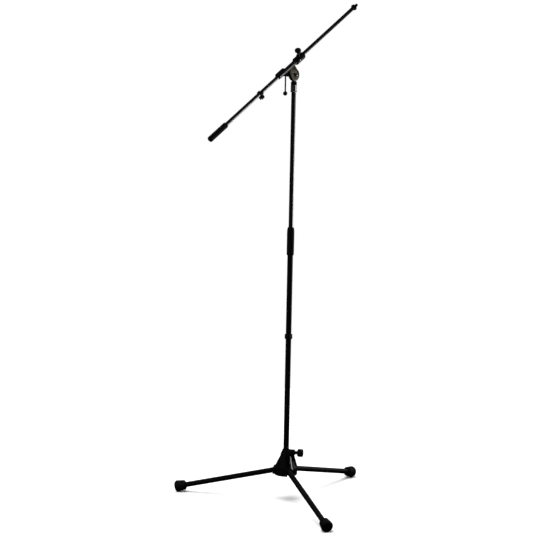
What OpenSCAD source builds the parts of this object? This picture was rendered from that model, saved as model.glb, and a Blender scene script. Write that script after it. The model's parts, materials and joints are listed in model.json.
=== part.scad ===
// Tripod boom stand: folding tubular tripod, two-stage column with a twist clutch,
// a tilting clamp head and a sliding boom with a threaded end.
// Floor at z = 0, column axis on x = y = 0, boom in the XZ plane pointing up towards +X.

/* [Tripod] */
// Distance from the column axis to each leg hinge
hinge_ring_r = 36; // [36:0.5:37]
// Height of the leg hinges above the floor
hinge_h = 97.5; // [94:0.5:99]
// Leg hinge to the middle of the foot
leg_len = 331; // [300:1:360]
// Outer radius of the leg tubes
leg_tube_r = 8.8; // [8.2:0.1:8.8]
// Wall of the leg tubes
leg_tube_wall = 1.5; // [1.2:0.1:2]
// Radius of the rubber foot
foot_r = 19.3; // [19:0.1:20]
// Height of the middle of the foot above the floor
foot_h = 20; // [19.5:0.1:20.6]
// Width of the slots that the legs fold into
slot_w = 20; // [19.6:0.1:21]

/* [Base knob] */
// Direction the base knob points, anticlockwise from the boom
base_knob_az = 300; // [295:1:305]
// Height of the base knob above the floor
base_knob_h = 159; // [156:0.5:159]
// Radius of the base knob
base_knob_r = 13.2; // [10:0.1:14]

/* [Column] */
// Height of the boom hinge above the floor
pivot_h = 1400; // [1000:10:1580]
// Outer radius of the lower tube
lower_tube_r = 9.2; // [9:0.05:9.4]
// Outer radius of the upper tube
upper_tube_r = 7.5; // [7.3:0.05:7.6]
// Height of the foot of the twist clutch
clutch_h = 817.5; // [700:2.5:900]
// Outer radius of the twist clutch
clutch_r = 12; // [11.8:0.1:13]
// Height of the cable clip on the column
column_clip_h = 542; // [300:2:700]
// Direction the cable clip on the column opens, anticlockwise from the boom
column_clip_az = 220; // [0:5:355]

/* [Boom] */
// Angle of the boom above the horizontal
boom_elev = 31; // [-60:0.5:75]
// Outer radius of the boom tube
boom_r = 6.05; // [6:0.05:6.5]
// Distance from the boom hinge up to the boom axis
boom_offset = 34.8; // [34.5:0.1:36]
// Clamp to the closed end of the grip
boom_back = 442.5; // [400:0.5:520]
// Clamp to the threaded end of the tube
boom_front = 375.5; // [320:0.5:440]
// Length of the boom grip
grip_len = 84.5; // [75:0.5:130]
// Clamp to the cable clip on the boom
boom_clip_at = 172; // [120:1:240]

/* [Clamp head] */
// Radius of the round end of the side plate
plate_r = 19.4; // [18.5:0.1:19.6]
// Distance from the hinge to the boom clamp knob, along the boom
clamp_knob_at = 44.5; // [44:0.5:52]
// Lean of the boom clamp knob to the side of the plate
clamp_knob_lean = 18; // [0:1:25]
// Radius of the T-bar balls
tee_ball_r = 7.2; // [5:0.1:7.4]
// Length the T-bar hangs below the hinge
tee_drop = 59.8; // [50:0.2:70]

/* [Thread] */
// Outer radius of the three-eighths inch thread
thread_r = 4.7625; // [4.7:0.0025:4.8]
// Length of the thread past the end collar
thread_len = 23.5; // [17:0.5:24]

/* [Hidden] */
$fn = 96;

leg_count = 3;
leg_turn = 360 / leg_count;
leg_slope = asin((hinge_h - foot_h) / leg_len);
run_gap = 0.05;
free_gap = 0.3;
cut = 1;

// Leg hinge and fold lever
pin_r = 2.5;
pin_len = 28;
barrel_r = 7.5;
barrel_w = 19;
leg_shoulder = 12;
foot_depth = 4;
plug_len = 46;
lever_len = 18;
lever_w = 12;
lever_t = 4.4;
tip_r = 3;
fold_half = (90 + leg_slope) / 2;
fold_rate = 0.2806;
groove_h = hinge_h + fold_rate * fold_half;
groove_half = tip_r + 1.2;

// Spool on the foot of the column
spool_r = 24;
spool_core_r = 13;
spool_rim_t = 3;
spool_low = groove_h - groove_half - spool_rim_t;
spool_high = groove_h + groove_half + spool_rim_t;

// Hub
hub_low = 85;
hub_band_h = 111;
hub_shoulder_h = 114;
hub_neck_h = 166.5;
hub_high = 169.6;
hub_roof_h = 150;
hub_band_r = 38.5;
hub_edge_in = 1;
hub_edge_h = 1.5;
hub_shoulder_r = 36.4;
hub_neck_r = 12.7;
hub_top_r = 11.8;
hub_wall = 3;
lug_reach = 42.4;
lug_low = 86;
lug_high = 110.4;
lug_start = 30;
slot_high = 152;
slot_start = 13;
spool_room_r = 26.5;
spool_room_h = 122;
column_room_r = 10.8;
column_room_h = 147;
knob_boss_r = 10.5;
knob_boss_reach = 28.5;
knob_web_w = 12;
base_screw_r = 4;

// Cable clips
eye_r = 4.8;
eye_wall = 2.3;
eye_web = 0.4;
mouth = 5.6;
snap_gap = 11;
column_clip_wall = 3.5;
column_clip_len = 14;
boom_clip_wall = 3;
boom_clip_len = 12;

// Tubes of the column
lower_wall = 1.05;
lower_in_r = lower_tube_r - lower_wall;
upper_wall = 1;
upper_in_r = upper_tube_r - upper_wall;
mast_top = pivot_h - 56;
mast_len = 784;
mast_low = mast_top - mast_len;
clutch_len = 92;
tube_in_clutch = 48;
clutch_bore_r = clutch_r - 1.8;
collet_r = 9.1;
collet_to = 64;
bush_below = 15;
bush_above = 25;
bush_lip = 0.2;

// Head above the column, heights from the hinge
stud_flange_t = 1.6;
stud_thread = 16;
ring_low = -54.2;
ring_t = 3.6;
ring_r = 10.9;
coupler_low = -50.4;
coupler_high = -32;
coupler_r = 9.9;
collar_high = -21.6;
collar_r = 9.7;
lug_r = 16;
lug_t = 5;
disc_t = 0.8;
disc_r = 15;
cheek_in = 3.4;
cheek_out = 6.4;
cheek_heel = [-18.2, -6.4];
cheek_waist = [-20.2, 0];
cheek_top_back = [-21.4, 31];
cheek_top_front = [12, 31.5];
cheek_belly = [plate_r - 0.5, -4];
tilt_r = 4;
tilt_from = -9;
tilt_to = 27;
tee_y = 35;
tee_head_r = 5.6;
tee_head_half = 6.5;
tee_rod_r = 2.4;
tee_in_ball = 3;
tee_rise = tee_head_r + tee_ball_r;

// Boom clamp, distances along the boom from the hinge
trough_from = -66;
trough_to = 60;
trough_r = 9.3;
trough_in_r = boom_r + 0.4;
bush_in_r = boom_r + 0.07;
jaw_from = 24;
jaw_to = 70;
jaw_r = 12.1;
jaw_drop = 2;
jaw_round = 4.5;
collar_from = -75;
collar_to = -36;
clamp_collar_r = 10.4;
clamp_collar_rise = 1.7;
rivet_shank_r = 1.8;
rivet_head_r = 2.9;
clamp_screw_r = 3;
clamp_knob_r = 10.4;

// Boom ends
grip_end_t = 4;
stud_collar_t = 3;
nut_from = boom_front + stud_collar_t + free_gap;
nut_foot_t = 2.5;
nut_flange_t = 3.6;
nut_head_t = 2.2;
nut_to = nut_from + nut_foot_t + nut_flange_t + nut_head_t;
relief_from = nut_to + 0.1;
relief_w = 1;
relief_depth = 0.8;

// Colours
black_paint = [0.05, 0.05, 0.055];
black_plastic = [0.07, 0.07, 0.07];
rubber = [0.04, 0.04, 0.04];
steel = [0.7, 0.7, 0.72];
gunmetal = [0.36, 0.35, 0.31];

// Places its children at a leg hinge, +X outward and level
module at_hinge(i) {
  rotate([0, 0, i * leg_turn])
    translate([hinge_ring_r, 0, hinge_h])
      children();
}

// Places its children along a leg, +X down the tube
module along_leg(i) {
  at_hinge(i)
    rotate([0, leg_slope, 0])
      children();
}

// Places its children at the boom hinge, +X along the boom
module at_head() {
  translate([0, 0, pivot_h])
    rotate([0, -boom_elev, 0])
      children();
}

// Places its children on the boom axis, +X along the boom
module on_boom() {
  at_head()
    translate([0, 0, boom_offset])
      children();
}

// Cylinder along +X
module bar_x(r, from, to) {
  translate([from, 0, 0])
    rotate([0, 90, 0])
      cylinder(r = r, h = to - from);
}

// Cylinder along Y
module bar_y(r, from, to) {
  translate([0, to, 0])
    rotate([90, 0, 0])
      cylinder(r = r, h = to - from);
}

// Ring along Z
module ring_z(r_out, r_in, from, to) {
  translate([0, 0, from])
    difference() {
      cylinder(r = r_out, h = to - from);
      translate([0, 0, -cut])
        cylinder(r = r_in, h = to - from + 2 * cut);
    }
}

// Cylinder with rounded rims, standing on its lower end
module round_bar(r, h, c) {
  rotate_extrude()
    union() {
      square([r - c, h]);
      translate([0, c])
        square([r, h - 2 * c]);
      translate([r - c, c])
        circle(r = c);
      translate([r - c, h - c])
        circle(r = c);
    }
}

// ---- Base ----

module hub_outside() {
  rotate_extrude()
    polygon([
      [0, hub_low],
      [hub_band_r - hub_edge_in, hub_low],
      [hub_band_r, hub_low + hub_edge_h],
      [hub_band_r, hub_band_h],
      [hub_shoulder_r, hub_shoulder_h],
      [hub_neck_r, hub_neck_h],
      [hub_top_r, hub_high],
      [0, hub_high]
    ]);
}

// Hollow under the bell, leaving its wall
module hub_inside() {
  roof_share = (hub_roof_h - hub_shoulder_h) / (hub_neck_h - hub_shoulder_h);
  roof_r = hub_shoulder_r + (hub_neck_r - hub_shoulder_r) * roof_share;
  rotate_extrude()
    polygon([
      [0, hub_low - cut],
      [hub_band_r - hub_wall, hub_low - cut],
      [hub_band_r - hub_wall, hub_band_h],
      [hub_shoulder_r - hub_wall, hub_shoulder_h],
      [roof_r - hub_wall, hub_roof_h],
      [0, hub_roof_h]
    ]);
}

// Two cheeks beside every slot, solid across it until the slot is cut
module hub_cheeks() {
  for (i = [0 : leg_count - 1])
    rotate([0, 0, i * leg_turn])
      translate([0, -pin_len / 2, hub_low - 2 * cut])
        cube([2 * lug_reach, pin_len, slot_high - hub_low + 2 * cut]);
}

// Lugs where the hinge pins come through the band
module hub_lugs() {
  for (i = [0 : leg_count - 1])
    rotate([0, 0, i * leg_turn])
      translate([lug_start, -pin_len / 2, lug_low])
        cube([lug_reach - lug_start, pin_len, lug_high - lug_low]);
}

// Upright web that carries the base knob's boss down to the band
module knob_web() {
  web_in = 15;
  web_shelf = 27;
  web_shelf_h = 150;
  web_foot = hub_band_r - 0.3;
  web_foot_h = hub_band_h + 1;
  rotate([0, 0, base_knob_az])
    translate([0, knob_web_w / 2, 0])
      rotate([90, 0, 0])
        linear_extrude(height = knob_web_w)
          polygon([
            [web_in, web_foot_h],
            [web_foot, web_foot_h],
            [web_shelf, web_shelf_h],
            [web_in, web_shelf_h]
          ]);
}

module base_hub() {
  color(black_paint)
    difference() {
      union() {
        hub_outside();
        hub_lugs();
        knob_web();
        rotate([0, 0, base_knob_az])
          translate([0, 0, base_knob_h])
            bar_x(knob_boss_r, 0, knob_boss_reach);
      }
      difference() {
        hub_inside();
        hub_cheeks();
      }
      translate([0, 0, hub_low - cut])
        cylinder(r = spool_room_r, h = spool_room_h - hub_low + cut);
      translate([0, 0, spool_room_h - cut])
        cylinder(r = column_room_r, h = column_room_h - spool_room_h + cut);
      translate([0, 0, column_room_h - cut])
        cylinder(r = lower_tube_r + run_gap, h = hub_high - column_room_h + 2 * cut);
      for (i = [0 : leg_count - 1]) {
        rotate([0, 0, i * leg_turn])
          translate([slot_start, -slot_w / 2, hub_low - cut])
            cube([lug_reach, slot_w, slot_high - hub_low + cut]);
        at_hinge(i)
          bar_y(pin_r, -pin_len, pin_len);
      }
      rotate([0, 0, base_knob_az])
        translate([0, 0, base_knob_h])
          bar_x(base_screw_r + run_gap, 0, knob_boss_reach + cut);
    }
}

module leg_pins() {
  color(black_paint)
    for (i = [0 : leg_count - 1])
      at_hinge(i)
        bar_y(pin_r, -pin_len / 2, pin_len / 2);
}

module at_base_knob() {
  rotate([0, 0, base_knob_az])
    translate([0, 0, base_knob_h])
      rotate([0, 90, 0])
        children();
}

base_screw_to = 46;

module base_knob() {
  stem_from = knob_boss_reach + free_gap;
  stem_r = 8;
  neck_r = 5.6;
  taper = 4.5;
  cap_from = 37.8;
  cap_t = 19.5;
  cap_round = 4.5;
  color(black_plastic)
    at_base_knob()
      difference() {
        union() {
          translate([0, 0, stem_from])
            cylinder(r1 = stem_r, r2 = neck_r, h = taper);
          translate([0, 0, stem_from + taper])
            cylinder(r = neck_r, h = cap_from + cut - stem_from - taper);
          translate([0, 0, cap_from])
            round_bar(base_knob_r, cap_t, cap_round);
        }
        cylinder(r = base_screw_r, h = base_screw_to);
      }
}

module base_knob_screw() {
  tip_gap = 0.6;
  color(steel)
    at_base_knob()
      translate([0, 0, lower_tube_r + tip_gap])
        cylinder(r = base_screw_r, h = base_screw_to - lower_tube_r - tip_gap);
}

// ---- Legs ----

module leg_tube(i) {
  color(black_paint)
    along_leg(i)
      difference() {
        bar_x(leg_tube_r, leg_shoulder, leg_len + foot_depth);
        bar_x(leg_tube_r - leg_tube_wall, leg_shoulder - cut, leg_len + foot_depth + cut);
      }
}

// Hinge barrel, tube plug and the short lever that rides in the column spool
module leg_lever(i) {
  color(black_plastic)
    difference() {
      union() {
        at_hinge(i)
          bar_y(barrel_r, -barrel_w / 2, barrel_w / 2);
        along_leg(i)
          bar_x(leg_tube_r - leg_tube_wall, 0, plug_len);
        along_leg(i)
          bar_x(leg_tube_r, 0, leg_shoulder);
        at_hinge(i)
          rotate([0, fold_half, 0])
            translate([-lever_len, -lever_w / 2, -lever_t / 2])
              cube([lever_len, lever_w, lever_t]);
        at_hinge(i)
          rotate([0, fold_half, 0])
            translate([-lever_len, 0, 0])
              bar_y(tip_r, -lever_w / 2, lever_w / 2);
      }
      at_hinge(i)
        bar_y(pin_r + run_gap, -pin_len, pin_len);
    }
}

// Rubber foot flaring outward from a blunt neck to a rounded end, flat where it stands
module leg_foot(i) {
  neck = 18;
  neck_r = foot_r - 5.8;
  lip_r = foot_r - 3.3;
  lip_t = 2.5;
  rim_r = 9.4;
  rim_at = 9.4;
  rim_from = foot_r - rim_r;
  lip_out = lip_r - rim_from;
  lip_back = rim_at + neck - lip_t;
  flare = asin(rim_r / norm([lip_out, lip_back])) - atan(lip_out / lip_back);
  block = 90;
  block_at = leg_len - 30;
  color(rubber)
    difference() {
      along_leg(i)
        translate([leg_len, 0, 0])
          rotate([0, 90, 0])
            rotate_extrude()
              union() {
                translate([rim_from, rim_at])
                  circle(r = rim_r);
                polygon([
                  [0, -neck],
                  [neck_r, -neck],
                  [lip_r, lip_t - neck],
                  [rim_from + rim_r * cos(flare), rim_at - rim_r * sin(flare)],
                  [rim_from, rim_at],
                  [rim_from, rim_at + rim_r],
                  [0, rim_at + rim_r]
                ]);
              }
      along_leg(i)
        bar_x(leg_tube_r, leg_len - neck - cut, leg_len + foot_depth);
      rotate([0, 0, i * leg_turn])
        translate([block_at, -block / 2, -block])
          cube(block);
    }
}

// ---- Column ----

module lower_tube() {
  color(black_paint)
    ring_z(lower_tube_r, lower_in_r, spool_low, clutch_h + tube_in_clutch);
}

module column_spool() {
  color(black_plastic)
    rotate_extrude()
      polygon([
        [lower_tube_r, spool_low],
        [spool_r, spool_low],
        [spool_r, spool_low + spool_rim_t],
        [spool_core_r, spool_low + spool_rim_t],
        [spool_core_r, spool_high - spool_rim_t],
        [spool_r, spool_high - spool_rim_t],
        [spool_r, spool_high],
        [lower_tube_r, spool_high]
      ]);
}

// Snap-on clip: an open ring for the tube and an open eye for the cable, eye towards +X
module cable_clip(tube_r, wall, h) {
  eye_at = tube_r + wall + eye_r + eye_web;
  difference() {
    union() {
      cylinder(r = tube_r + wall, h = h);
      translate([eye_at, 0, 0])
        cylinder(r = eye_r + eye_wall, h = h);
    }
    translate([0, 0, -cut])
      cylinder(r = tube_r + run_gap, h = h + 2 * cut);
    translate([eye_at, 0, -cut])
      cylinder(r = eye_r, h = h + 2 * cut);
    translate([eye_at, -mouth / 2, -cut])
      cube([eye_r + eye_wall + cut, mouth, h + 2 * cut]);
    translate([-tube_r - wall - cut, -snap_gap / 2, -cut])
      cube([tube_r + wall, snap_gap, h + 2 * cut]);
  }
}

module column_clip() {
  color(black_plastic)
    translate([0, 0, column_clip_h])
      rotate([0, 0, column_clip_az])
        cable_clip(lower_tube_r, column_clip_wall, column_clip_len);
}

module clutch_collar() {
  collar_up = 8;
  color(black_plastic)
    ring_z(clutch_bore_r - run_gap, lower_tube_r, clutch_h + collar_up, clutch_h + tube_in_clutch);
}

module clutch_collet() {
  color(black_plastic)
    ring_z(collet_r, upper_tube_r + run_gap, clutch_h + tube_in_clutch, clutch_h + collet_to);
}

module clutch_grip() {
  foot_t = 6;
  foot_round = [1.6, 0.4];
  foot_up = [3, 7];
  head_round = [1, 3];
  head_down = [12, 4];
  color(rubber)
    translate([0, 0, clutch_h])
      rotate_extrude()
        polygon([
          [lower_tube_r + free_gap, 0],
          [clutch_r - foot_round[0], 0],
          [clutch_r - foot_round[1], foot_up[0]],
          [clutch_r, foot_up[1]],
          [clutch_r, clutch_len - head_down[0]],
          [clutch_r - head_round[0], clutch_len - head_down[1]],
          [clutch_r - head_round[1], clutch_len],
          [upper_tube_r + free_gap, clutch_len],
          [upper_tube_r + free_gap, collet_to + 2],
          [clutch_bore_r, collet_to + 2],
          [clutch_bore_r, foot_t],
          [lower_tube_r + free_gap, foot_t]
        ]);
}

// Bush that guides the foot of the upper tube inside the lower one
module guide_bush() {
  color(black_plastic)
    union() {
      translate([0, 0, mast_low - bush_below])
        cylinder(r = lower_in_r - run_gap, h = bush_below - bush_lip);
      translate([0, 0, mast_low - bush_lip])
        cylinder(r = upper_in_r - run_gap, h = bush_above + bush_lip);
    }
}

module upper_tube() {
  color(black_paint)
    ring_z(upper_tube_r, upper_in_r, mast_low, mast_top);
}

// ---- Head on the column ----

module mast_stud() {
  plug = 24;
  flange_rim = 0.4;
  color(steel)
    union() {
      translate([0, 0, mast_top - plug])
        cylinder(r = upper_in_r, h = plug);
      translate([0, 0, mast_top])
        cylinder(r = upper_tube_r + flange_rim, h = stud_flange_t);
      translate([0, 0, mast_top + stud_flange_t])
        cylinder(r = thread_r, h = stud_thread);
    }
}

module lock_ring() {
  chamfer = 1;
  color(steel)
    translate([0, 0, pivot_h + ring_low])
      difference() {
        union() {
          cylinder(r = ring_r, h = ring_t - chamfer);
          translate([0, 0, ring_t - chamfer])
            cylinder(r1 = ring_r, r2 = ring_r - chamfer, h = chamfer);
        }
        translate([0, 0, -cut])
          cylinder(r = thread_r + run_gap, h = ring_t + 2 * cut);
      }
}

module stem_coupler() {
  color(gunmetal)
    translate([0, 0, pivot_h])
      difference() {
        translate([0, 0, coupler_low])
          cylinder(r = coupler_r, h = coupler_high - coupler_low);
        translate([0, 0, coupler_low - cut])
          cylinder(r = thread_r, h = mast_top + stud_flange_t + stud_thread - pivot_h - coupler_low + cut);
      }
}

module stem_lug() {
  neck_w = 17;
  color(black_paint)
    translate([0, 0, pivot_h])
      difference() {
        union() {
          translate([0, 0, coupler_high])
            cylinder(r = collar_r, h = collar_high - coupler_high);
          translate([-neck_w / 2, -lug_t / 2, collar_high - cut])
            cube([neck_w, lug_t, cut - collar_high]);
          bar_y(lug_r, -lug_t / 2, lug_t / 2);
        }
        bar_y(tilt_r, -lug_t, lug_t);
      }
}

module friction_discs() {
  color(steel)
    translate([0, 0, pivot_h])
      for (side = [-1, 1])
        translate([0, side * (lug_t + disc_t) / 2, 0])
          difference() {
            bar_y(disc_r, -disc_t / 2, disc_t / 2);
            bar_y(tilt_r, -disc_t, disc_t);
          }
}

module tilt_screw() {
  color(steel)
    translate([0, 0, pivot_h])
      union() {
        bar_y(tilt_r - run_gap, tilt_from, tilt_to);
        translate([0, tilt_from, 0])
          sphere(r = tilt_r - run_gap);
      }
}

module tilt_washer() {
  washer_r = 6.8;
  washer_t = 1.6;
  washer_gap = 0.2;
  color(black_paint)
    translate([0, 0, pivot_h])
      difference() {
        bar_y(washer_r, -cheek_out - washer_gap - washer_t, -cheek_out - washer_gap);
        bar_y(tilt_r - run_gap, -cheek_out - 2 * washer_t, -cheek_out + cut);
      }
}

// Sleeve and cross-drilled head behind the clamp, with the hole for the T-bar
module tilt_boss() {
  sleeve_r = 6.2;
  sleeve_gap = 0.2;
  color(black_plastic)
    translate([0, 0, pivot_h])
      difference() {
        union() {
          bar_y(sleeve_r, cheek_out + sleeve_gap, tee_y - tee_head_half);
          bar_y(tee_head_r, tee_y - tee_head_half, tee_y + tee_head_half);
        }
        bar_y(tilt_r - run_gap, cheek_out - cut, tilt_to);
        translate([0, tee_y, -2 * tee_head_r])
          cylinder(r = tee_rod_r + run_gap, h = 4 * tee_head_r);
      }
}

module tee_rod() {
  color(gunmetal)
    translate([0, tee_y, pivot_h - tee_drop - tee_in_ball])
      cylinder(r = tee_rod_r, h = tee_drop + tee_rise + 2 * tee_in_ball);
}

module tee_balls() {
  color(black_plastic)
    for (z = [-tee_drop, tee_rise])
      translate([0, tee_y, pivot_h + z])
        difference() {
          sphere(r = tee_ball_r);
          translate([0, 0, z > 0 ? -2 * tee_ball_r : -tee_in_ball])
            cylinder(r = tee_rod_r, h = 2 * tee_ball_r + tee_in_ball);
        }
}

// ---- Boom clamp ----

// Side plate: round at the hinge, running up to the trough
module cheek(from, to) {
  union() {
    bar_y(plate_r, from, to);
    translate([0, to, 0])
      rotate([90, 0, 0])
        linear_extrude(height = to - from)
          polygon([
            cheek_heel,
            cheek_waist,
            cheek_top_back,
            cheek_top_front,
            cheek_belly
          ]);
  }
}

// Lower half of the long boom seat
module trough() {
  difference() {
    bar_x(trough_r, trough_from, trough_to);
    translate([trough_from - cut, -trough_r - cut, 0])
      cube([trough_to - trough_from + 2 * cut, 2 * (trough_r + cut), trough_r + cut]);
  }
}

module jaw() {
  translate([jaw_from, 0, -jaw_drop])
    rotate([0, 90, 0])
      round_bar(jaw_r, jaw_to - jaw_from, jaw_round);
}

// Knob axis square to the boom, leaning to the plate side
module at_clamp_knob() {
  on_boom()
    translate([clamp_knob_at, 0, 0])
      rotate([clamp_knob_lean, 0, 0])
        children();
}

// Along the boom, up from its axis, and out to the face under the head
rivet_spots = [[9.5, -3.6, trough_r + 0.1], [38, -1.8, jaw_r + 0.1]];
rivet_in = 7.3;

module rivets(shank_r, head_r) {
  head_t = 1.3;
  for (spot = rivet_spots)
    on_boom()
      translate([spot[0], 0, spot[1]])
        union() {
          bar_y(shank_r, -spot[2], -rivet_in);
          bar_y(head_r, -spot[2] - head_t, -spot[2]);
        }
}

module clamp_body() {
  boss_r = 6.5;
  boss_top = 11.8;
  color(black_paint)
    difference() {
      union() {
        on_boom()
          trough();
        on_boom()
          jaw();
        at_clamp_knob()
          cylinder(r = boss_r, h = boss_top);
        at_head()
          cheek(cheek_in, cheek_out);
      }
      on_boom()
        bar_x(trough_in_r, trough_from - cut, jaw_from);
      on_boom()
        bar_x(bush_in_r, jaw_from - cut, jaw_to + cut);
      at_head()
        bar_y(tilt_r + run_gap, 0, 2 * cheek_out);
      at_clamp_knob()
        cylinder(r = clamp_screw_r + run_gap, h = boss_top + cut);
      rivets(rivet_shank_r, rivet_head_r);
    }
}

module clamp_plate() {
  color(gunmetal)
    difference() {
      at_head()
        cheek(-cheek_out, -cheek_in);
      on_boom()
        bar_x(trough_r, trough_from, trough_to);
      at_head()
        bar_y(tilt_r + run_gap, -2 * cheek_out, 0);
    }
}

module clamp_collar() {
  collar_round = 3;
  block = 2 * clamp_collar_r;
  color(black_plastic)
    on_boom()
      difference() {
        translate([collar_from, 0, clamp_collar_rise])
          rotate([0, 90, 0])
            round_bar(clamp_collar_r, collar_to - collar_from, collar_round);
        bar_x(bush_in_r, collar_from - cut, collar_to + cut);
        translate([trough_from, -block, -block])
          cube([collar_to - trough_from + cut, 2 * block, block]);
      }
}

module clamp_rivets() {
  color(steel)
    rivets(rivet_shank_r, rivet_head_r);
}

clamp_screw_to = 27;

module clamp_knob() {
  stem_from = 12.1;
  stem_r = 4.8;
  neck_r = 3.9;
  neck_len = 9;
  cap_from = 24;
  under_r = 7.2;
  under_in = 0.8;
  cap_t = 12;
  cap_round = 4.5;
  color(black_plastic)
    at_clamp_knob()
      difference() {
        union() {
          translate([0, 0, stem_from])
            cylinder(r1 = stem_r, r2 = neck_r, h = neck_len);
          translate([0, 0, stem_from + neck_len])
            cylinder(r1 = neck_r, r2 = under_r, h = cap_from + under_in - stem_from - neck_len);
          translate([0, 0, cap_from])
            round_bar(clamp_knob_r, cap_t, cap_round);
        }
        cylinder(r = clamp_screw_r, h = clamp_screw_to);
      }
}

module clamp_screw() {
  color(steel)
    at_clamp_knob()
      translate([0, 0, boom_r + free_gap])
        cylinder(r = clamp_screw_r, h = clamp_screw_to - boom_r - free_gap);
}

// ---- Boom ----

module boom_tube() {
  boom_wall = 1;
  color(black_paint)
    on_boom()
      difference() {
        bar_x(boom_r, grip_end_t - boom_back, boom_front);
        bar_x(boom_r - boom_wall, grip_end_t - boom_back - cut, boom_front + cut);
      }
}

module boom_grip() {
  grip_r = 9.2;
  grip_round = 3;
  color(rubber)
    on_boom()
      difference() {
        translate([-boom_back, 0, 0])
          rotate([0, 90, 0])
            round_bar(grip_r, grip_len, grip_round);
        bar_x(boom_r, grip_end_t - boom_back, grip_len - boom_back + cut);
      }
}

module boom_clip() {
  color(black_plastic)
    on_boom()
      translate([-boom_clip_at - boom_clip_len / 2, 0, 0])
        rotate([0, 90, 0])
          cable_clip(boom_r, boom_clip_wall, boom_clip_len);
}

// Plug and collar, then the thread with a relief groove just past the nut
module boom_stud() {
  plug = 22;
  plug_r = boom_r - 1;
  collar_rim = 0.7;
  thread_from = boom_front + stud_collar_t;
  color(steel)
    on_boom()
      union() {
        bar_x(plug_r, boom_front - plug, boom_front);
        bar_x(boom_r + collar_rim, boom_front, thread_from);
        bar_x(thread_r, thread_from, relief_from);
        bar_x(thread_r - relief_depth, relief_from, relief_from + relief_w);
        bar_x(thread_r, relief_from + relief_w, thread_from + thread_len);
      }
}

// Round nut with a wide flange between two narrower shoulders
module boom_nut() {
  foot_ring_r = 8.2;
  flange_r = 10.5;
  head_r = 7.4;
  flange_from = nut_from + nut_foot_t;
  flange_to = flange_from + nut_flange_t;
  color(black_paint)
    on_boom()
      difference() {
        union() {
          bar_x(foot_ring_r, nut_from, flange_from);
          bar_x(flange_r, flange_from, flange_to);
          bar_x(head_r, flange_to, nut_to);
        }
        bar_x(thread_r + run_gap, nut_from - cut, nut_to + cut);
      }
}

base_hub();
leg_pins();
base_knob();
base_knob_screw();
leg_tube(0);  // leg_1_tube
leg_lever(0);  // leg_1_lever
leg_foot(0);  // leg_1_foot
leg_tube(1);  // leg_2_tube
leg_lever(1);  // leg_2_lever
leg_foot(1);  // leg_2_foot
leg_tube(2);  // leg_3_tube
leg_lever(2);  // leg_3_lever
leg_foot(2);  // leg_3_foot
lower_tube();
column_spool();
column_clip();
clutch_collar();
clutch_collet();
clutch_grip();
guide_bush();
upper_tube();
mast_stud();
lock_ring();
stem_coupler();
stem_lug();
friction_discs();
tilt_screw();
tilt_washer();
tilt_boss();
tee_rod();
tee_balls();
clamp_body();
clamp_plate();
clamp_collar();
clamp_rivets();
clamp_knob();
clamp_screw();
boom_tube();
boom_grip();
boom_clip();
boom_stud();
boom_nut();
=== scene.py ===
"""Looks of the boom stand: worked pieces, procedural finishes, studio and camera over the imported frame."""

import json
import math

import bmesh
import bpy
from mathutils import Matrix, Vector

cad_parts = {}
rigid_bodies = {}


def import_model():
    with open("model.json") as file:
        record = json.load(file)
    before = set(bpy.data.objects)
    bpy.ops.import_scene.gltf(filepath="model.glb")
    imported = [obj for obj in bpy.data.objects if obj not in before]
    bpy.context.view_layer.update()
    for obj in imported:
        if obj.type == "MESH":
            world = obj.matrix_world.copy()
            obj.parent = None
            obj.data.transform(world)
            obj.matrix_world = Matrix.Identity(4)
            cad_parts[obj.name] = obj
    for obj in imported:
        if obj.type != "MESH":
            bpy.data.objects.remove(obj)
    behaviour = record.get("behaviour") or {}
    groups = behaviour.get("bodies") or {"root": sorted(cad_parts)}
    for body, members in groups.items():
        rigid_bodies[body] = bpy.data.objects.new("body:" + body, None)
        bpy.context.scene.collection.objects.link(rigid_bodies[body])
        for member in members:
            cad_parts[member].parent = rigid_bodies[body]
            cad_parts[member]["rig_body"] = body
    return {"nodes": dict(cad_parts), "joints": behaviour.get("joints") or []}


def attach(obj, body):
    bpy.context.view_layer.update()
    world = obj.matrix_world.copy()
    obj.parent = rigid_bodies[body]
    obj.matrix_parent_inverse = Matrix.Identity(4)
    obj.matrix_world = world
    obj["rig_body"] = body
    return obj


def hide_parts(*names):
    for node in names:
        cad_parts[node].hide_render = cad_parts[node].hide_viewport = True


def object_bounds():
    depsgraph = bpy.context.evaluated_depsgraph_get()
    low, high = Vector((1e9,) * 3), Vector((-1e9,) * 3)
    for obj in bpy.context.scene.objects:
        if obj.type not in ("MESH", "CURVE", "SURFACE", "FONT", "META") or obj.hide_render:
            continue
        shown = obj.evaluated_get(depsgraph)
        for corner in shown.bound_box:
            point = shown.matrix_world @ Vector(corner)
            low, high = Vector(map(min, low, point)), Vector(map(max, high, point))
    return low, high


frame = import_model()
packed_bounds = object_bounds()

MM = 0.001
TURN = 2 * math.pi
SMOOTH_ANGLE = math.radians(32)
NODES = frame["nodes"]
JOINTS = {joint["name"]: joint for joint in frame["joints"]}
UP = Vector((0, 0, 1))


# ---- Places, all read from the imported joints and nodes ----


def place(origin, along, side):
    """Frame with its Z along one direction and its X towards another."""
    z = Vector(along).normalized()
    x = Vector(side)
    x = (x - z * z.dot(x)).normalized()
    y = z.cross(x)
    turn = Matrix((x, y, z)).transposed().to_4x4()
    return Matrix.Translation(Vector(origin)) @ turn


hinge = Vector(JOINTS["boom_tilt"]["pos_m"])
boom_along = Vector(JOINTS["boom_slide"]["axis"]).normalized()
boom_normal = Vector((-boom_along.z, 0, boom_along.x))
boom_lift = boom_normal.dot(Vector(JOINTS["boom_nut_turn"]["pos_m"]) - hinge)

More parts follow.
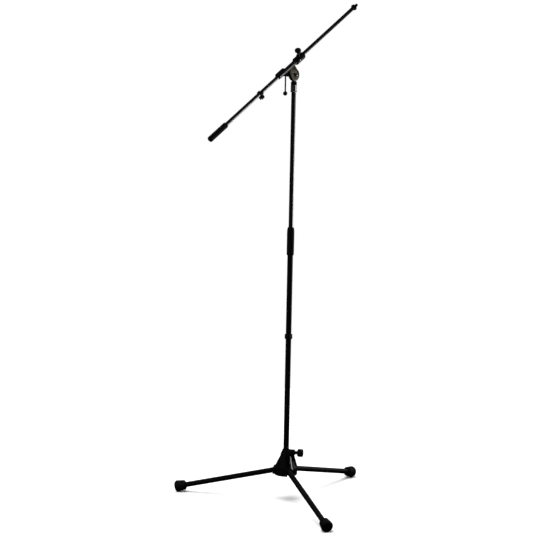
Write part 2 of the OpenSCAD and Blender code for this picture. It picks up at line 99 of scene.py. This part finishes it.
COLUMN = place((0, 0, 0), UP, (1, 0, 0))
BOOM = place(hinge + boom_normal * boom_lift, boom_along, boom_normal)
BASE_KNOB = place(JOINTS["base_knob_turn"]["pos_m"], JOINTS["base_knob_turn"]["axis"], UP)
CLAMP_KNOB = place(JOINTS["clamp_knob_turn"]["pos_m"], JOINTS["clamp_knob_turn"]["axis"], boom_along)
plate_side = math.copysign(1, (BOOM.inverted() @ (hinge + Vector((0, -1, 0)))).y)


def reach(node, where):
    """Least and greatest distance of a CAD node along a place's Z, and its outer radius, in mm."""
    into = where.inverted()
    points = [into @ vertex.co for vertex in NODES[node].data.vertices]
    low = min(point.z for point in points)
    high = max(point.z for point in points)
    outer = max(point.xy.length for point in points)
    return low / MM, high / MM, outer / MM


# ---- Mesh tools ----


def finished(bm, name, where, look, body, slot, *replaced):
    """Turns a bmesh in mm at a place into a piece of the stand."""
    bmesh.ops.recalc_face_normals(bm, faces=bm.faces)
    bm.transform(where @ Matrix.Scale(MM, 4))
    mesh = bpy.data.meshes.new(name)
    bm.to_mesh(mesh)
    bm.free()
    mesh.shade_smooth()
    mesh.set_sharp_from_angle(angle=SMOOTH_ANGLE)
    mesh.materials.append(look)
    piece = bpy.data.objects.new(name, mesh)
    bpy.context.scene.collection.objects.link(piece)
    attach(piece, body)
    if replaced:
        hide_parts(*replaced)
    return piece


def eased(profile, amount, steps=4):
    """Rounds the corners of an open profile of (along, radius) points."""
    points = [Vector(point) for point in profile]
    made = [points[0]]
    for before, corner, after in zip(points, points[1:], points[2:]):
        cut = min(amount, 0.45 * (corner - before).length, 0.45 * (after - corner).length)
        start = corner + (before - corner).normalized() * cut
        end = corner + (after - corner).normalized() * cut
        for k in range(steps + 1):
            t = k / steps
            made.append(start * (1 - t) ** 2 + corner * 2 * t * (1 - t) + end * t * t)
    made.append(points[-1])
    return [tuple(point) for point in made]


def turned(bm, profile, around=96, wave=None):
    """Adds a turned solid; wave(angle, along, radius) is added to the radius."""
    rings = []
    for along, radius in profile:
        if radius <= 0:
            rings.append([bm.verts.new((0, 0, along))])
            continue
        ring = []
        for k in range(around):
            angle = TURN * k / around
            r = radius + (wave(angle, along, radius) if wave else 0)
            ring.append(bm.verts.new((r * math.cos(angle), r * math.sin(angle), along)))
        rings.append(ring)
    pairs = list(zip(rings, rings[1:]))
    if len(rings[0]) > 1 and len(rings[-1]) > 1:
        pairs.append((rings[-1], rings[0]))
    for low, high in pairs:
        for k in range(around):
            n = (k + 1) % around
            if len(low) == 1:
                bm.faces.new((low[0], high[k], high[n]))
            elif len(high) == 1:
                bm.faces.new((low[k], high[0], low[n]))
            else:
                bm.faces.new((low[k], low[n], high[n], high[k]))


def run(start, end, step):
    """Evenly spaced distances from start to end."""
    count = max(1, round(abs(end - start) / step))
    return [start + (end - start) * k / count for k in range(count + 1)]


def ramp(value, low, high):
    """Smooth step from 0 at low to 1 at high."""
    t = min(1, max(0, (value - low) / (high - low)))
    return t * t * (3 - 2 * t)


def softened(node, width, look, slot, steps=3, edge_look=None):
    """Stand-in for a CAD node with its sharp edges rounded over, and rubbed bare when given an edge look."""
    body = NODES[node]["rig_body"]
    bm = bmesh.new()
    bm.from_mesh(NODES[node].data)
    bm.transform(Matrix.Scale(1 / MM, 4))
    weld = 0.002
    flat = math.radians(0.5)
    sharp = math.radians(28)
    edge_slot = 1
    bmesh.ops.remove_doubles(bm, verts=bm.verts, dist=weld)
    bmesh.ops.dissolve_limit(bm, angle_limit=flat, verts=bm.verts, edges=bm.edges)
    edges = [e for e in bm.edges if len(e.link_faces) == 2 and e.calc_face_angle(0) > sharp]
    bmesh.ops.bevel(
        bm, geom=edges, offset=width, offset_type="OFFSET", segments=steps,
        profile=0.5, affect="EDGES", clamp_overlap=True, material=edge_slot if edge_look else -1,
    )
    bmesh.ops.triangulate(bm, faces=[f for f in bm.faces if len(f.verts) > 4])
    piece = finished(bm, node + "_worked", Matrix.Identity(4), look, body, slot, node)
    if edge_look:
        piece.data.materials.append(edge_look)
    return piece


def painted_highlight_faces(piece, where, look, low, high, chosen):
    """Cuts a piece along the sides of a box at a place and paints a highlight as another finish on the chosen
    faces in it.
    """

    def in_box(point):
        above = all(low[axis] is None or point[axis] > low[axis] for axis in range(3))
        return above and all(high[axis] is None or point[axis] < high[axis] for axis in range(3))

    bm = bmesh.new()
    bm.from_mesh(piece.data)
    bm.transform(Matrix.Scale(1 / MM, 4) @ where.inverted())
    for axis in range(3):
        for corner in (low, high):
            if corner[axis] is None:
                continue
            flat = Vector((0, 0, 0))
            flat[axis] = 1
            bmesh.ops.bisect_plane(
                bm, geom=bm.verts[:] + bm.edges[:] + bm.faces[:], dist=0.001,
                plane_co=flat * corner[axis], plane_no=flat,
            )
    piece.data.materials.append(look)
    for face in bm.faces:
        middle = face.calc_center_median()
        if in_box(middle) and chosen(middle, face.normal):
            face.material_index = len(piece.data.materials) - 1
    bm.transform(where @ Matrix.Scale(MM, 4))
    bm.to_mesh(piece.data)
    bm.free()


# ---- Finishes ----


class Nodes:
    """Small helper that builds one material out of nodes."""

    def __init__(self, name):
        self.material = bpy.data.materials.new(name)
        self.material.use_nodes = True
        self.tree = self.material.node_tree
        self.shader = self.tree.nodes["Principled BSDF"]
        self.where = self.add("ShaderNodeTexCoord").outputs["Object"]

    def add(self, kind, **values):
        node = self.tree.nodes.new(kind)
        for key, value in values.items():
            setattr(node, key, value)
        return node

    def link(self, source, target):
        self.tree.links.new(source, target)

    def noise(self, scale, detail=3.0, roughness=0.55, stretch=None):
        """Noise value over the piece, with scale in cycles per metre and an optional stretch per axis."""
        node = self.add("ShaderNodeTexNoise")
        node.inputs["Scale"].default_value = scale
        node.inputs["Detail"].default_value = detail
        node.inputs["Roughness"].default_value = roughness
        source = self.where
        if stretch:
            mapping = self.add("ShaderNodeMapping")
            mapping.inputs["Scale"].default_value = stretch
            self.link(source, mapping.inputs["Vector"])
            source = mapping.outputs["Vector"]
        self.link(source, node.inputs["Vector"])
        return node.outputs["Fac"]

    def mapped(self, source, low, high, from_low=0.3, from_high=0.7):
        """Value remapped from the noise's working range to low..high."""
        node = self.add("ShaderNodeMapRange")
        node.inputs["From Min"].default_value = from_low
        node.inputs["From Max"].default_value = from_high
        node.inputs["To Min"].default_value = low
        node.inputs["To Max"].default_value = high
        self.link(source, node.inputs["Value"])
        return node.outputs["Result"]

    def mixed(self, amount, first, second):
        """Colour mixed from first to second by a value."""
        node = self.add("ShaderNodeMix", data_type="RGBA")
        for socket, colour in ((node.inputs["A"], first), (node.inputs["B"], second)):
            if isinstance(colour, bpy.types.NodeSocket):
                self.link(colour, socket)
            else:
                socket.default_value = (*colour, 1)
        self.link(amount, node.inputs["Factor"])
        return node.outputs["Result"]

    def bump(self, *layers):
        """Stacked bumps, each a (height, strength, distance in mm)."""
        normal = None
        for height, strength, distance in layers:
            node = self.add("ShaderNodeBump")
            node.inputs["Strength"].default_value = strength
            node.inputs["Distance"].default_value = distance * MM
            self.link(height, node.inputs["Height"])
            if normal:
                self.link(normal, node.inputs["Normal"])
            normal = node.outputs["Normal"]
        self.link(normal, self.shader.inputs["Normal"])


DUST_COLOUR = (0.34, 0.33, 0.32)
DUST_SCALE = 2600
RUB_SCALE = 240
RUB_STRETCH = (1, 1, 0.16)
BRUSH_SCALE = 1400


def finish(name, dark, light, rough, metal=0.0, coat=0.0, coat_rough=0.1, specular=0.5,
           grain=(900, 0.25, 0.05), cloud=14.0, brushed=None, dust=0.0, wear=0.0, worn=(0.2, 0.2, 0.2)):
    """Procedural finish: drifting colour, uneven roughness, grain, brushing, rubbed marks and dust.

    Grain is a (scale, strength, depth in mm) and brushed a stretch per axis; cloud is the scale of the drift.
    """
    kit = Nodes(name)
    shader = kit.shader
    shader.inputs["Metallic"].default_value = metal
    shader.inputs["Specular IOR Level"].default_value = specular
    shader.inputs["Coat Weight"].default_value = coat
    shader.inputs["Coat Roughness"].default_value = coat_rough
    colour = kit.mixed(kit.mapped(kit.noise(cloud, 4.0), 0, 1), dark, light)
    roughness = kit.mapped(kit.noise(cloud * 3.1, 5.0, 0.6), rough[0], rough[1])
    if wear:
        rubbed = kit.mapped(kit.noise(RUB_SCALE, 6.0, 0.72, RUB_STRETCH), 0, wear, 0.62, 0.78)
        colour = kit.mixed(rubbed, colour, worn)
    if dust:
        settled = kit.mapped(kit.noise(DUST_SCALE, 2.0, 0.5), 0, dust, 0.55, 0.8)
        colour = kit.mixed(settled, colour, DUST_COLOUR)
    kit.link(colour, shader.inputs["Base Color"])
    kit.link(roughness, shader.inputs["Roughness"])
    scale, strength, distance = grain
    layers = [(kit.noise(scale, 2.0), strength, distance)]
    if brushed:
        layers.append((kit.noise(BRUSH_SCALE, 2.0, 0.5, brushed), 0.2, 0.03))
    kit.bump(*layers)
    return kit.material


gloss_paint = finish(
    "gloss_paint", (0.002, 0.002, 0.0022), (0.005, 0.005, 0.0054), (0.3, 0.4), coat=0.7, coat_rough=0.32,
    grain=(420, 0.10, 0.05), cloud=9, wear=0.10, worn=(0.04, 0.04, 0.04),
)
satin_paint = finish(
    "satin_paint", (0.0015, 0.0015, 0.0016), (0.0038, 0.0038, 0.0041), (0.44, 0.58), specular=0.12,
    grain=(1500, 0.22, 0.04), cloud=11, dust=0.008, wear=0.08, worn=(0.04, 0.04, 0.04),
)
hub_paint = finish(
    "hub_paint", (0.0013, 0.0013, 0.0014), (0.0034, 0.0034, 0.0037), (0.42, 0.6), specular=0.14,
    grain=(1100, 0.45, 0.08), cloud=22, dust=0.012, wear=0.14, worn=(0.06, 0.06, 0.06),
)
matte_plastic = finish(
    "matte_plastic", (0.0016, 0.0016, 0.0016), (0.004, 0.004, 0.004), (0.46, 0.62), specular=0.14,
    grain=(2100, 0.35, 0.05), cloud=30, dust=0.012, wear=0.1, worn=(0.045, 0.045, 0.045),
)
gloss_plastic = finish(
    "gloss_plastic", (0.003, 0.003, 0.003), (0.006, 0.006, 0.006), (0.18, 0.3), specular=0.35,
    grain=(500, 0.12, 0.03), cloud=35, wear=0.08, worn=(0.03, 0.03, 0.03),
)
rubber = finish(
    "rubber", (0.0016, 0.0016, 0.0016), (0.0042, 0.0042, 0.004), (0.62, 0.82), specular=0.12,
    grain=(1700, 0.5, 0.07), cloud=26, dust=0.02, wear=0.12, worn=(0.04, 0.04, 0.04),
)
chrome = finish(
    "chrome", (0.62, 0.62, 0.63), (0.74, 0.74, 0.75), (0.06, 0.15), metal=1.0,
    grain=(300, 0.06, 0.02), cloud=40, wear=0.2, worn=(0.45, 0.45, 0.47),
)
turned_steel = finish(
    "turned_steel", (0.36, 0.36, 0.37), (0.52, 0.52, 0.53), (0.22, 0.36), metal=1.0,
    grain=(1800, 0.2, 0.03), cloud=50, brushed=(1, 1, 0.05), wear=0.25, worn=(0.28, 0.27, 0.26),
)
black_oxide = finish(
    "black_oxide", (0.012, 0.012, 0.013), (0.024, 0.024, 0.026), (0.3, 0.42), metal=0.6, specular=0.25,
    grain=(1500, 0.2, 0.02), cloud=60, wear=0.3, worn=(0.12, 0.118, 0.115),
)
gunmetal = finish(
    "gunmetal", (0.034, 0.029, 0.0125), (0.056, 0.048, 0.024), (0.34, 0.46), metal=0.55, specular=0.2,
    grain=(1300, 0.3, 0.04), cloud=45, brushed=(0.15, 1, 1), wear=0.22, worn=(0.11, 0.1, 0.07),
)
# Rubbed metal: worn edges of the clamp plate, and a painted highlight along the boom seat edge.
rubbed_metal_and_highlight = finish(
    "rubbed_metal_and_highlight", (0.2, 0.19, 0.165), (0.32, 0.305, 0.27), (0.34, 0.48), metal=0.6, specular=0.4,
    grain=(1500, 0.25, 0.03), cloud=80, wear=0.25, worn=(0.1, 0.095, 0.085),
)
# Pale cast-metal colour: a painted highlight on one wall of the front leg slot.
painted_highlight_casting = finish(
    "painted_highlight_casting", (0.62, 0.60, 0.57), (0.78, 0.75, 0.71), (0.45, 0.6), metal=0.1,
    grain=(1500, 0.3, 0.05), cloud=60, wear=0.3, worn=(0.2, 0.19, 0.18),
)

KEPT_LOOKS = {
    "leg_pins": satin_paint,
    "base_knob_screw": turned_steel,
    "leg_1_tube": satin_paint,
    "leg_2_tube": satin_paint,
    "leg_3_tube": satin_paint,
    "lower_tube": satin_paint,
    "column_spool": matte_plastic,
    "clutch_collar": matte_plastic,
    "clutch_collet": matte_plastic,
    "guide_bush": matte_plastic,
    "upper_tube": gloss_paint,
    "mast_stud": turned_steel,
    "stem_coupler": chrome,
    "friction_discs": turned_steel,
    "tilt_screw": turned_steel,
    "tee_rod": gunmetal,
    "tee_balls": gloss_plastic,
    "clamp_screw": turned_steel,
    "boom_tube": gloss_paint,
}

for node, look in KEPT_LOOKS.items():
    slots = NODES[node].data.materials
    if not len(slots):
        slots.append(look)
    for k in range(len(slots)):
        slots[k] = look


# ---- Worked pieces, in mm ----

THREAD_R = 4.7625
THREAD_GAP = 0.05


def ribbed_clutch():
    """Twist grip with lengthwise ribs between two plain bands."""
    low, high, outer = reach("clutch_grip", COLUMN)
    tube_r = reach("lower_tube", COLUMN)[2]
    mast_r = reach("upper_tube", COLUMN)[2]
    gap = 0.3
    skin = outer - 1.8
    head = 26
    foot = 6
    ribs = 18
    depth = 0.75
    band = 9
    fade_in = 4
    fade_out_from = band + 12
    fade_out_to = band + 7
    from_low_end = [(0, -1.6), (3, -0.4), (7, 0), (band, 0)]
    from_high_end = [(-14, 0), (-12, 0), (-4, -1), (0, -3)]
    outside = [(low + h, outer + r) for h, r in from_low_end]
    grooved = [(h, outer) for h in run(low + band + 0.5, high - band - 6.5, 1.5)]
    top = eased([(high + h, outer + r) for h, r in from_high_end], 1.5)
    inside = [
        (high, mast_r + gap), (high - head, mast_r + gap), (high - head, skin),
        (low + foot, skin), (low + foot, tube_r + gap), (low, tube_r + gap),
    ]

    def wave(angle, along, radius):
        if radius < outer - 0.01:
            return 0
        share = ramp(along, low + band, low + band + fade_in)
        share *= 1 - ramp(along, high - fade_out_from, high - fade_out_to)
        return -depth * share * (0.5 + 0.5 * math.cos(ribs * angle)) ** 3

    bm = bmesh.new()
    turned(bm, outside + grooved + top + inside, 216, wave)
    finished(bm, "clutch_ribbed", COLUMN, rubber, "clutch", "rubber", "clutch_grip")


def ringed_grip():
    """Boom grip: closed rounded end, ringed hand part, plain lip at the tube."""
    low, high, outer = reach("boom_grip", BOOM)
    tube_r = reach("boom_tube", BOOM)[2]
    pitch = 5.2
    depth = 0.4
    rounding = 3.2
    closed_wall = 4
    plain = 10
    fade = 4
    steps = 8
    quarter = [k * TURN / 4 / steps for k in range(steps + 1)]
    ball = [(low + rounding * (1 - math.cos(t)), outer - rounding * (1 - math.sin(t))) for t in quarter]

    def waist(along):
        share = ramp(along, low + plain, low + plain + fade)
        share *= 1 - ramp(along, high - plain - fade, high - plain)
        return -depth * share * (0.5 + 0.5 * math.cos(TURN * (along - low) / pitch)) ** 2

    rings = [(h, outer + waist(h)) for h in run(low + rounding + 0.4, high - 3.5, 0.45)]
    mouth = eased([(high - 3.2, outer), (high, outer - 0.6), (high, tube_r)], 0.6)
    inside = [(low + closed_wall, tube_r), (low + closed_wall, 0)]
    bm = bmesh.new()
    turned(bm, [(low, 0)] + ball + rings + mouth + inside, 96)
    finished(bm, "boom_grip_ringed", BOOM, rubber, "boom", "rubber", "boom_grip")


def lobed(count, depth, sharpness, from_radius):
    """Wave that cuts finger hollows into the rim of a knob, fading out towards its middle."""

    def wave(angle, along, radius):
        share = ramp(radius, from_radius * 0.6, from_radius)
        return -depth * share * (0.5 + 0.5 * math.cos(count * angle)) ** sharpness

    return wave


def arc(along, radius, size, start, end, steps=7):
    """Quarter-round points about a centre at (along, radius), angles in degrees from straight out."""
    turns = [math.radians(start + (end - start) * k / steps) for k in range(steps + 1)]
    return [(along + size * math.sin(t), radius + size * math.cos(t)) for t in turns]


def knob(name, node, where, look, slot, body, neck, cap_from, rounding, bore, lobes, depth):
    """Hand knob: turned neck, round-edged cap with finger hollows and a sunk crown, bore for its screw."""
    low, high, outer = reach(node, where)
    bore_r, bore_to = bore
    top = high - low
    crown_r = 0.52 * outer
    crown_h = top - 0.7
    clear = 0.4
    rim = arc(cap_from + rounding, outer - rounding, rounding, -90, 0)
    rim = [point for point in rim if point[0] > neck[-1][0] + clear / 2]
    side = [(h, outer) for h in run(cap_from + rounding + clear, top - rounding - clear, 1.0)]
    shoulder = arc(top - rounding, outer - rounding, rounding, 0, 90)
    crown = [(top, crown_r + 0.8), (top, crown_r), (crown_h, crown_r - 0.4), (crown_h, crown_r - 1.5)]
    profile = [(bore_to, 0), (bore_to, bore_r), (0, bore_r)] + eased(neck, 0.5)
    profile += rim + side + shoulder + eased(crown, 0.3) + [(crown_h, 0)]
    bm = bmesh.new()
    turned(bm, [(h + low, r) for h, r in profile], 144, lobed(lobes, depth, 2, outer))
    finished(bm, name, where, look, body, slot, node)


def threaded_stud():
    """Plug, end collar and a cut helical thread with a chamfered tip."""
    low, high, outer = reach("boom_stud", BOOM)
    tube_end, tube_r = reach("boom_tube", BOOM)[1:]
    plug_r = tube_r - 1
    collar_t = 3
    major = THREAD_R
    pitch = 25.4 / 16
    depth = 0.86
    flank = 1.15
    chamfer = 1.1
    undercut = 0.12
    undercut_len = 0.9
    run_in = 0.7
    start = tube_end + collar_t
    plain = [(low, 0), (low, plug_r), (tube_end, plug_r)]
    collar = eased([(tube_end, plug_r), (tube_end, outer), (start, outer), (start, major)], 0.4)
    cut = [(h, major) for h in run(start + 0.05, high, pitch / 10)]

    def wave(angle, along, radius):
        if along <= start or radius < major - 0.01:
            return 0
        turn = ((along - start) / pitch - angle / TURN) % 1
        groove = depth * (1 - abs(2 * turn - 1))
        tip = max(0, chamfer - (high - along))
        root = undercut * ramp(start + undercut_len - along, 0, undercut_len)
        return -max(min(depth, groove * flank) * ramp(along, start, start + run_in), tip + root)

    bm = bmesh.new()
    turned(bm, plain + collar + cut + [(high, 0)], 72, wave)
    finished(bm, "boom_stud_threaded", BOOM, black_oxide, "boom", "steel", "boom_stud")


def fluted_nut():
    """Round nut: plain foot, wide flange with a fluted rim, chamfered head."""
    low, high, outer = reach("boom_nut", BOOM)
    bore = THREAD_R + THREAD_GAP
    foot_r = 8.2
    head_r = 7.4
    flutes = 16
    flute_depth = 0.5
    flange_from = low + 2.5
    flange_to = flange_from + 3.6
    foot = eased([(low, bore), (low, foot_r), (flange_from, foot_r), (flange_from, outer - 0.7)], 0.4)
    rim = [(flange_from + 0.5, outer)] + [(h, outer) for h in run(flange_from + 0.7, flange_to - 0.7, 0.6)]
    head = [(flange_to - 0.5, outer), (flange_to, outer - 0.7), (flange_to, head_r)]
    head += eased([(flange_to + 0.1, head_r), (high, head_r), (high, bore)], 0.6)

    def wave(angle, along, radius):
        if radius < outer - 0.9:
            return 0
        return -flute_depth * (0.5 + 0.5 * math.cos(flutes * angle)) ** 2

    bm = bmesh.new()
    turned(bm, foot + rim + head, 192, wave)
    finished(bm, "boom_nut_fluted", BOOM, matte_plastic, "boom_nut", "paint", "boom_nut")


def knurled_ring():
    """Lock ring with a straight knurl between two chamfers."""
    low, high, outer = reach("lock_ring", COLUMN)
    bore = THREAD_R + THREAD_GAP
    teeth = 56
    tooth_depth = 0.35
    rim = [(low, bore), (low, outer - 0.9), (low + 0.7, outer)]
    side = [(h, outer) for h in run(low + 0.9, high - 1.2, 0.5)]
    top = [(high - 1, outer), (high, outer - 1), (high, bore)]

    def wave(angle, along, radius):
        return -tooth_depth * abs(math.sin(teeth / 2 * angle)) if radius > outer - 0.01 else 0

    bm = bmesh.new()
    turned(bm, rim + side + top, 336, wave)
    finished(bm, "lock_ring_knurled", COLUMN, chrome, "lock_ring", "chrome", "lock_ring")


def painted_highlight_slot_wall(hub):
    """Paints a highlight as pale cast metal on one wall of the front leg slot."""
    out = Vector(JOINTS["leg_3_fold"]["pos_m"])
    slot = place((0, 0, 0), UP, (out.x, out.y, 0))
    wall = 10.0
    near = 0.3
    foot_of_strip = 109
    top_of_strip = 148

    def is_wall(middle, normal):
        return abs(middle.y - wall) < near and abs(normal.y) > 0.99 and middle.x > 0

    painted_highlight_faces(hub, slot, painted_highlight_casting, (None, None, foot_of_strip), (None, None, top_of_strip), is_wall)


def painted_highlight_seat_edge(body):
    """Paints a highlight as rubbed metal along the upper edge of the boom seat on the plate's side, from the
    lower sleeve to the upper rivet.
    """
    edge_r = 8.1
    edge_low, edge_high = -1.5, 0.05
    seat_end, upper_rivet = -66.5, 12

    def is_edge(middle, normal):
        return middle.y * plate_side > 0 and middle.xy.length > edge_r

    painted_highlight_faces(body, BOOM, rubbed_metal_and_highlight, (edge_low, None, seat_end), (edge_high, None, upper_rivet), is_edge)


ribbed_clutch()
ringed_grip()
threaded_stud()
fluted_nut()
knurled_ring()
knob("base_knob_lobed", "base_knob", BASE_KNOB, matte_plastic, "plastic", "base_knob",
     [(0, 4.2), (0, 8.0), (4.5, 5.6), (9.0, 5.6), (9.0, 7.0)], 9.0, 4.5, (4.0, 17.2), 9, 1.1)
knob("clamp_knob_lobed", "clamp_knob", CLAMP_KNOB, matte_plastic, "plastic", "clamp_knob",
     [(0, 3.2), (0, 4.8), (9.0, 3.9), (12.7, 7.2)], 11.9, 4.5, (3.0, 14.9), 8, 0.7)

# The front slot's wall gets a painted highlight in pale cast metal.
painted_highlight_slot_wall(softened("base_hub", 0.7, hub_paint, "hub_paint"))
softened("column_clip", 0.6, matte_plastic, "plastic")
softened("boom_clip", 0.6, matte_plastic, "plastic")
# The seat edge on the plate's side gets a painted highlight in rubbed metal.
painted_highlight_seat_edge(softened("clamp_body", 0.5, hub_paint, "hub_paint"))
softened("clamp_plate", 0.9, gunmetal, "gunmetal", 2, rubbed_metal_and_highlight)
softened("clamp_collar", 0.5, gloss_plastic, "plastic")
softened("clamp_rivets", 0.8, chrome, "chrome", 4)
softened("stem_lug", 0.6, satin_paint, "paint")
softened("tilt_boss", 0.7, gloss_plastic, "plastic")
softened("tilt_washer", 0.4, gloss_plastic, "paint")
for number in ("1", "2", "3"):
    softened("leg_" + number + "_lever", 0.5, matte_plastic, "plastic")
    softened("leg_" + number + "_foot", 0.8, rubber, "rubber")


# ---- Studio ----


def studio_floor():
    """Pale round floor under the stand."""
    floor_r = 1.7
    corners = 96
    mesh = bpy.data.meshes.new("studio_floor")
    bm = bmesh.new()
    turns = [TURN * k / corners for k in range(corners)]
    bm.faces.new([bm.verts.new((floor_r * math.cos(t), floor_r * math.sin(t), 0)) for t in turns])
    bm.to_mesh(mesh)
    bm.free()
    kit = Nodes("pale_floor")
    kit.link(kit.mixed(kit.noise(1.5), (0.9, 0.9, 0.9), (0.92, 0.92, 0.92)), kit.shader.inputs["Base Color"])
    kit.shader.inputs["Roughness"].default_value = 0.9
    kit.shader.inputs["Specular IOR Level"].default_value = 0.0
    mesh.materials.append(kit.material)
    floor = bpy.data.objects.new("studio_floor", mesh)
    bpy.context.scene.collection.objects.link(floor)
    floor.visible_diffuse = False
    floor.visible_glossy = False


def aim(obj, location, target):
    """Stands an object at a location, looking at a target."""
    obj.location = location
    obj.rotation_mode = "QUATERNION"
    obj.rotation_quaternion = (Vector(target) - Vector(location)).to_track_quat("-Z", "Y")


def softbox(name, location, target, width, height, power, shine=True):
    """Soft rectangular lamp that the camera doesn't see; without shine it leaves no highlight."""
    light = bpy.data.lights.new(name, "AREA")
    light.shape = "RECTANGLE"
    light.size = width
    light.size_y = height
    light.energy = power
    lamp = bpy.data.objects.new(name, light)
    bpy.context.scene.collection.objects.link(lamp)
    aim(lamp, location, target)
    lamp.visible_camera = False
    lamp.visible_glossy = shine
    return lamp


def boom_panel():
    """Long low panel beside the grip's half of the boom, for the pale streak along its underside."""
    half_along = 0.19
    towards_grip = 0.13
    power = 2.0
    upper = Vector((0.44, -0.97, 1.67))
    lower = Vector((0.92, 0.2, 0.87))
    middle_of_half = BOOM @ Vector((0, 0, -0.2))
    centre = (upper + lower) / 2 - boom_along * towards_grip
    lamp = softbox("boom_panel", centre, middle_of_half, 2 * half_along, (upper - lower).length, power)
    facing = (middle_of_half - centre).normalized()
    across = (upper - lower).normalized()
    across = (across - facing * across.dot(facing)).normalized()
    turn = Matrix((across.cross(-facing), across, -facing)).transposed()
    lamp.rotation_quaternion = turn.to_quaternion()


def sky():
    """White surround to the eye, dim as a light."""
    fill = 0.02
    world = bpy.data.worlds.new("studio_world")
    bpy.context.scene.world = world
    world.use_nodes = True
    tree = world.node_tree
    background = tree.nodes["Background"]
    background.inputs["Color"].default_value = (1, 1, 1, 1)
    seen = tree.nodes.new("ShaderNodeLightPath")
    strength = tree.nodes.new("ShaderNodeMapRange")
    strength.inputs["To Min"].default_value = fill
    strength.inputs["To Max"].default_value = 1.0
    tree.links.new(seen.outputs["Is Camera Ray"], strength.inputs["Value"])
    tree.links.new(strength.outputs["Result"], background.inputs["Strength"])


VIEW_AZ = math.radians(39.94)
VIEW_DOWN = math.radians(7.67)
VIEW_ROLL = math.radians(1.09)
forward = Vector((
    math.cos(VIEW_AZ) * math.cos(VIEW_DOWN),
    math.sin(VIEW_AZ) * math.cos(VIEW_DOWN),
    -math.sin(VIEW_DOWN),
))
level_right = Vector((math.sin(VIEW_AZ), -math.cos(VIEW_AZ), 0))


def studio_camera():
    """Long lens from the left front, a little above the middle of the stand, with a slight roll."""
    distance = 4.667
    bearing = math.radians(219)
    height = 1.4075
    lens = 97.53
    up = level_right.cross(forward)
    right = level_right * math.cos(VIEW_ROLL) + up * math.sin(VIEW_ROLL)
    top = up * math.cos(VIEW_ROLL) - level_right * math.sin(VIEW_ROLL)
    turn = Matrix((right, top, -forward)).transposed().to_4x4()
    data = bpy.data.cameras.new("studio_camera")
    data.lens = lens
    data.sensor_width = 36.0
    data.clip_end = 100
    camera = bpy.data.objects.new("studio_camera", data)
    bpy.context.scene.collection.objects.link(camera)
    spot = Vector((distance * math.cos(bearing), distance * math.sin(bearing), height))
    camera.matrix_world = Matrix.Translation(spot) @ turn
    bpy.context.scene.camera = camera


def studio_sun():
    """Wide soft light from above, without a highlight."""
    light = bpy.data.lights.new("studio_sun", "SUN")
    light.energy = 3.9
    light.angle = math.radians(50)
    lamp = bpy.data.objects.new("studio_sun", light)
    bpy.context.scene.collection.objects.link(lamp)
    aim(lamp, level_right * -0.8 + UP * 5, (0, 0, 0))
    lamp.visible_glossy = False


studio_floor()
studio_camera()
studio_sun()
sky()
softbox("softbox_right", (1.3, -0.65, 0.87), (0, 0, 1.0), 0.5, 0.5, 11)
middle = (packed_bounds[0] + packed_bounds[1]) / 2
left_of_camera = middle - level_right * 1.6 - forward * 0.9
softbox("softbox_left", left_of_camera, middle - UP * 0.4, 0.8, 0.8, 22, shine=False)
boom_panel()
bpy.context.scene.view_settings.view_transform = "Standard"
